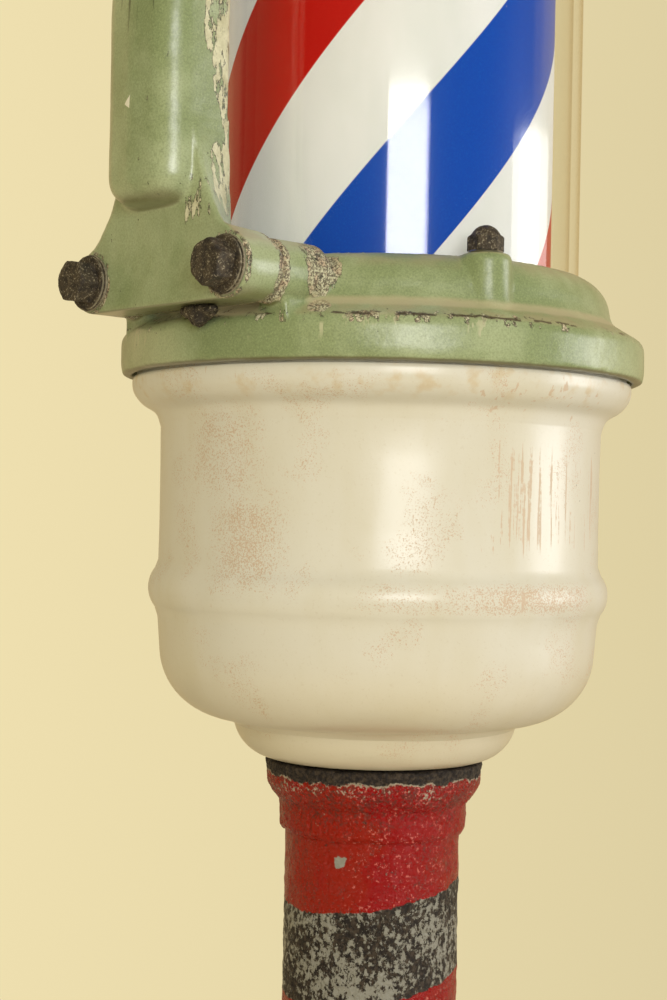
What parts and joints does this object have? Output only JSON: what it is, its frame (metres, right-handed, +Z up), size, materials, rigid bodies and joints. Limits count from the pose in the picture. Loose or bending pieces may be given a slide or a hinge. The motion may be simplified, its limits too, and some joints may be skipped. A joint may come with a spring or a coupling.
{
  "type": "barber pole light",
  "caption": "Floor-standing barber pole light: striped drum turning in a glass cylinder between two rings, enamelled motor bowl on a pipe, side bracket and globe lamp.",
  "frame": {"origin": "centre of the floor base's underside, on the floor, on the pole's axis", "axes": "+Z up along the pole's axis; the side bracket is at -X; the front faces -Y"},
  "size_m": [0.3996, 0.3996, 2.2257],
  "materials": {
    "cream_enamel": "gloss porcelain enamel, worn and rust-stained",
    "green_enamel": "semi-gloss green paint over a cream undercoat, chipped",
    "base_paint": "semi-gloss green paint, chipped at the edges",
    "pipe_paint": "thick red and grey striped paint, peeling",
    "weathered_steel": "dark, pitted and rusted",
    "bright_steel": "satin",
    "brass": "satin",
    "rubber": "matt",
    "drum_stripes": "red, white and blue spiral stripes",
    "clear_glass": "clear",
    "opal_glass": "opal white, satin",
    "lamp_glass": "frosted",
    "black_plastic": "matt",
    "varnished_wire": "varnished copper winding"
  },
  "bodies": {
    "pole": {"bowl": "cream_enamel", "bowl_locknut": "weathered_steel", "bracket": "green_enamel", "centre_tube": "bright_steel", "drum_lamp": "lamp_glass", "drum_lamp_holder": "black_plastic", "floor_anchor_1": "weathered_steel", "floor_anchor_2": "weathered_steel", "floor_anchor_3": "weathered_steel", "floor_anchor_4": "weathered_steel", "floor_base": "base_paint", "glass_cylinder": "clear_glass", "globe": "opal_glass", "globe_fitter": "brass", "globe_lamp": "lamp_glass", "globe_lamp_holder": "black_plastic", "lower_back_bolt": "weathered_steel", "lower_back_washer": "weathered_steel", "lower_cap_nut_1": "weathered_steel", "lower_cap_nut_2": "weathered_steel", "lower_cap_nut_3": "weathered_steel", "lower_front_bolt": "weathered_steel", "lower_front_washer": "weathered_steel", "lower_glass_gasket": "rubber", "lower_ring": "green_enamel", "lower_stud_1": "bright_steel", "lower_stud_2": "bright_steel", "lower_stud_3": "bright_steel", "motor_coil": "varnished_wire", "motor_core": "weathered_steel", "motor_gearcase": "weathered_steel", "motor_plate": "bright_steel", "pipe": "pipe_paint", "pipe_collar": "pipe_paint", "thrust_collar": "brass", "thumb_screw_1": "brass", "thumb_screw_2": "brass", "thumb_screw_3": "brass", "top_cap": "cream_enamel", "tube_locknut": "bright_steel", "upper_back_bolt": "weathered_steel", "upper_back_washer": "weathered_steel", "upper_cap_nut_1": "weathered_steel", "upper_cap_nut_2": "weathered_steel", "upper_cap_nut_3": "weathered_steel", "upper_front_bolt": "weathered_steel", "upper_front_washer": "weathered_steel", "upper_glass_gasket": "rubber", "upper_ring": "green_enamel", "upper_stud_1": "bright_steel", "upper_stud_2": "bright_steel", "upper_stud_3": "bright_steel"},
    "drum": {"drum": "drum_stripes", "drum_lower_spider": "bright_steel", "drum_upper_spider": "bright_steel", "drum_gear": "brass"},
    "pinion": {"motor_pinion": "brass"}
  },
  "joints": [
    {"name": "drum_spin", "type": "hinge", "parent": "pole", "child": "drum", "pos_m": [0, 0, 1.5563], "axis": [0, 0, 1], "continuous": true},
    {"name": "pinion_spin", "type": "hinge", "parent": "pole", "child": "pinion", "pos_m": [0.075, 0, 1.2335], "axis": [0, 0, 1], "continuous": true}
  ],
  "couplings": [
    {"joint": "pinion_spin", "follows": "drum_spin", "ratio": -4}
  ]
}
